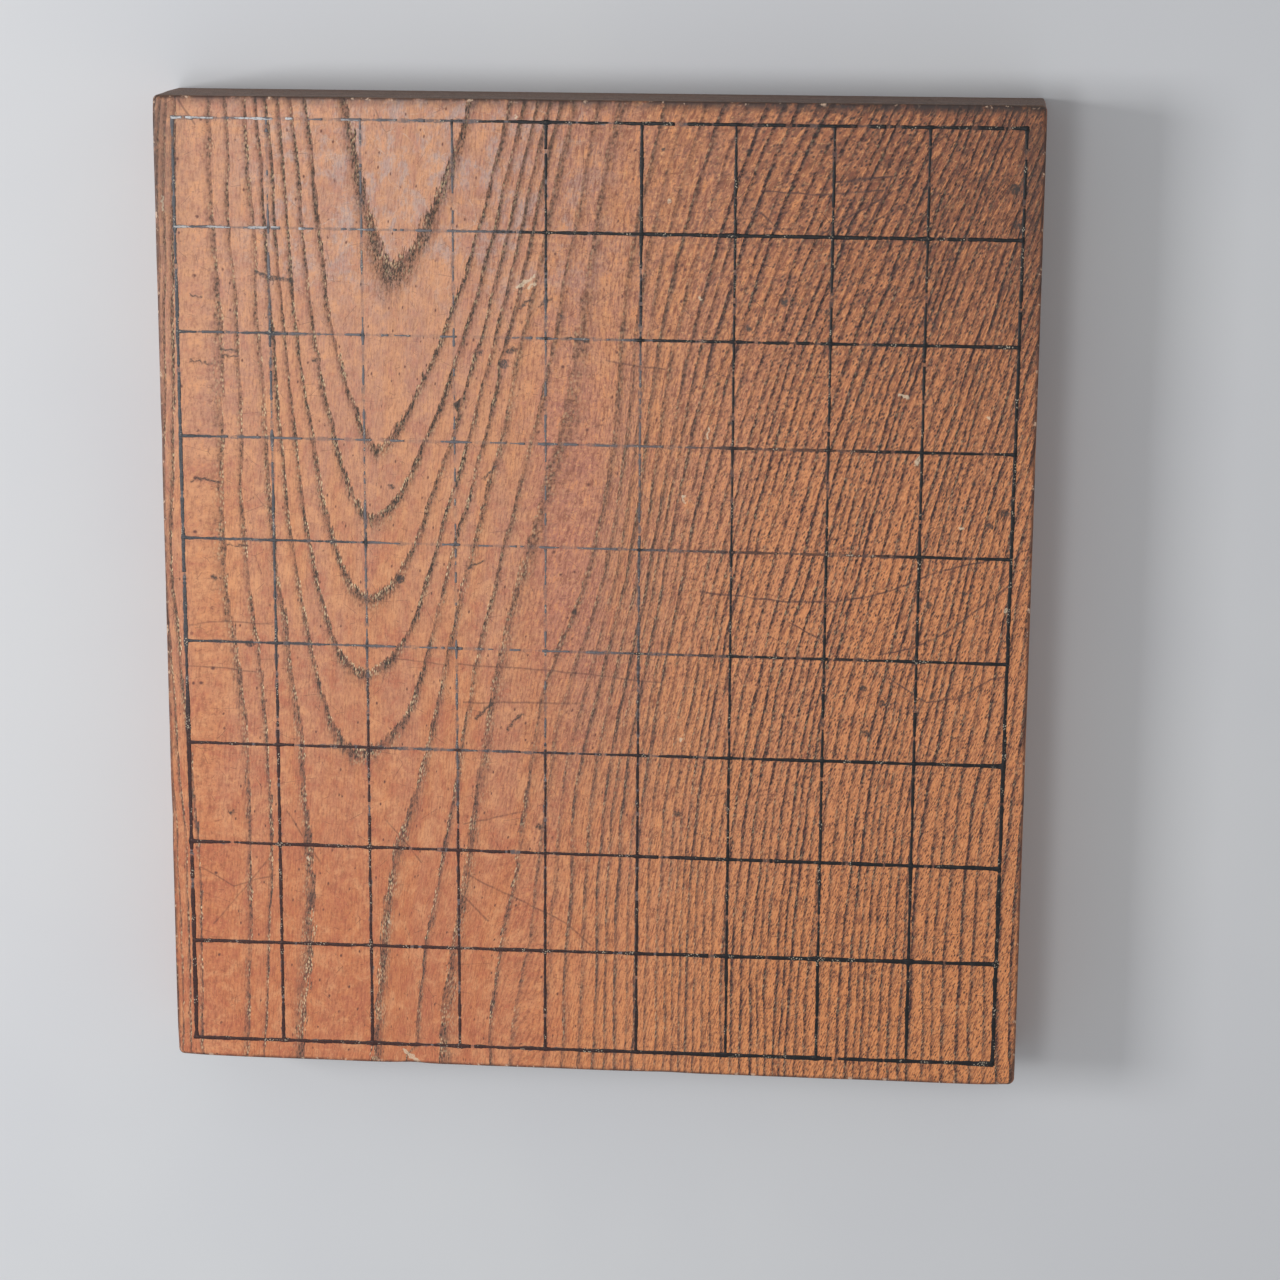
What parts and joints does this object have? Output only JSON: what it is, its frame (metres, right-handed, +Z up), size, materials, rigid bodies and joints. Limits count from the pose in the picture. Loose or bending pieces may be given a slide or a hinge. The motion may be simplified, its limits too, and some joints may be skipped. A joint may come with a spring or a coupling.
{
  "type": "shogi board",
  "caption": "Thick one-plank wooden table board for shogi, with a playing grid drawn on its face in raised strokes of black lacquer.",
  "frame": {"origin": "middle of the underside", "axes": "+Z up, out of the playing face; +Y along the file lines to the far end, which is the top edge in the picture; +X to the right along the rank lines"},
  "size_m": [0.332, 0.379, 0.043],
  "materials": {
    "plank_wood": "old satin, polished by hands, with a strong ring-porous grain",
    "line_lacquer": "black lacquer, semi-gloss, worn thin in places"
  },
  "bodies": {
    "root": {"board_plank": "plank_wood", "file_line_0": "line_lacquer", "file_line_1": "line_lacquer", "file_line_2": "line_lacquer", "file_line_3": "line_lacquer", "file_line_4": "line_lacquer", "file_line_5": "line_lacquer", "file_line_6": "line_lacquer", "file_line_7": "line_lacquer", "file_line_8": "line_lacquer", "file_line_9": "line_lacquer", "rank_line_0": "line_lacquer", "rank_line_1": "line_lacquer", "rank_line_2": "line_lacquer", "rank_line_3": "line_lacquer", "rank_line_4": "line_lacquer", "rank_line_5": "line_lacquer", "rank_line_6": "line_lacquer", "rank_line_7": "line_lacquer", "rank_line_8": "line_lacquer", "rank_line_9": "line_lacquer"}
  },
  "joints": []
}
